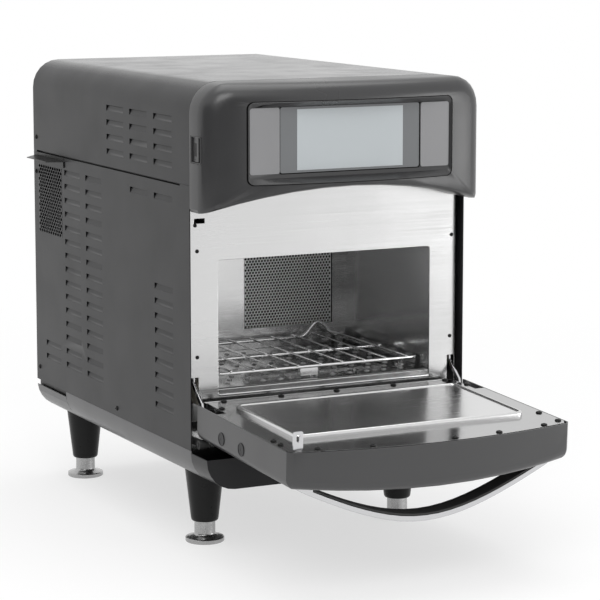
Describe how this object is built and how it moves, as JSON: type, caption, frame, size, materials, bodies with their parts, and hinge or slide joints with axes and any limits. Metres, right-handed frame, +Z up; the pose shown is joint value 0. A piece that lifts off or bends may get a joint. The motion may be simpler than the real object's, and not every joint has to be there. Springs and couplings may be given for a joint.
{
  "type": "countertop speed oven",
  "caption": "Compact countertop speed oven on legs, with a drop-down bowed door shown open, a wire rack in a steel chamber, a touch screen housing, and louvred sides.",
  "frame": {"origin": "Under the middle of the whole object, door open, on the bench plane.", "axes": "+X to the right seen from the front, +Y to the back, +Z up."},
  "size_m": [0.455, 0.883, 0.622],
  "materials": {
    "black_paint": "satin black powder coat",
    "base_paint": "satin dark grey powder coat",
    "housing_plastic": "satin dark moulded plastic",
    "stainless": "brushed",
    "dark_stainless": "heat-darkened",
    "chrome": "polished",
    "glass": "dark polished glass",
    "display": "pale blank display",
    "board": "green board with black chips",
    "rubber": "matte black",
    "cast": "satin black",
    "wool": "loose mineral wool",
    "motor_steel": "plain steel",
    "ceramic": "coated ceramic"
  },
  "bodies": {
    "cabinet": {"base_pan": "base_paint", "blower_box": "dark_stainless", "blower_motor": "motor_steel", "capacitor": "motor_steel", "catalyst_block": "ceramic", "chamber_liner": "stainless", "control_board": "board", "control_housing": "housing_plastic", "display_panel": "display", "door_stop_left": "rubber", "door_stop_right": "rubber", "fan_frame": "rubber", "floor_plate": "dark_stainless", "front_cap": "black_paint", "front_fascia": "stainless", "heater_coil": "dark_stainless", "hinge_arm_left": "chrome", "hinge_arm_right": "chrome", "insulation_wrap": "wool", "interlock_switch": "rubber", "jet_plate": "stainless", "leg_front_left": "cast", "leg_front_right": "cast", "leg_rear_left": "cast", "leg_rear_right": "cast", "magnetron": "motor_steel", "power_gland": "rubber", "rack_rail_left": "stainless", "rack_rail_right": "stainless", "rear_base_cap": "base_paint", "rear_panel": "dark_stainless", "return_grille": "dark_stainless", "side_panel_left": "black_paint", "side_panel_right": "black_paint", "stirrer_motor": "motor_steel", "top_shell": "black_paint", "touch_glass": "glass", "transformer": "motor_steel", "usb_port": "housing_plastic", "vent_hood_left": "black_paint", "vent_hood_right": "black_paint", "waveguide": "stainless"},
    "door": {"door_shell": "black_paint", "door_liner": "stainless", "choke_plate": "stainless", "latch_tab": "chrome", "handle_bar": "chrome", "handle_liner": "rubber", "hinge_pin_left": "chrome", "hinge_pin_right": "chrome"},
    "rack": {"oven_rack": "chrome"},
    "blower": {"blower_wheel": "motor_steel"},
    "cooling_fan": {"cooling_fan": "rubber"},
    "stirrer": {"field_stirrer": "stainless"},
    "foot_front_left": {"foot_front_left": "chrome"},
    "foot_front_right": {"foot_front_right": "chrome"},
    "foot_rear_left": {"foot_rear_left": "chrome"},
    "foot_rear_right": {"foot_rear_right": "chrome"}
  },
  "joints": [
    {"name": "door_hinge", "type": "hinge", "parent": "cabinet", "child": "door", "pos_m": [0, -0.15446, 0.187], "axis": [-1, 0, 0], "range_deg": [0, 92.4]},
    {"name": "rack_slide", "type": "slide", "parent": "cabinet", "child": "rack", "axis": [0, 1, 0], "range_m": [-0.2, 0]},
    {"name": "blower_spin", "type": "hinge", "parent": "cabinet", "child": "blower", "pos_m": [0.0667, 0.16054, 0.305], "axis": [0, 1, 0], "continuous": true},
    {"name": "cooling_fan_spin", "type": "hinge", "parent": "cabinet", "child": "cooling_fan", "pos_m": [0.09, 0.40553, 0.33], "axis": [0, 1, 0], "continuous": true},
    {"name": "stirrer_spin", "type": "hinge", "parent": "cabinet", "child": "stirrer", "pos_m": [-0.12, 0.08293, 0.43], "axis": [0, 0, 1], "continuous": true},
    {"name": "foot_front_left_height", "type": "slide", "parent": "cabinet", "child": "foot_front_left", "axis": [0, 0, 1], "range_m": [-0.01, 0.02]},
    {"name": "foot_front_right_height", "type": "slide", "parent": "cabinet", "child": "foot_front_right", "axis": [0, 0, 1], "range_m": [-0.01, 0.02]},
    {"name": "foot_rear_left_height", "type": "slide", "parent": "cabinet", "child": "foot_rear_left", "axis": [0, 0, 1], "range_m": [-0.01, 0.02]},
    {"name": "foot_rear_right_height", "type": "slide", "parent": "cabinet", "child": "foot_rear_right", "axis": [0, 0, 1], "range_m": [-0.01, 0.02]}
  ]
}
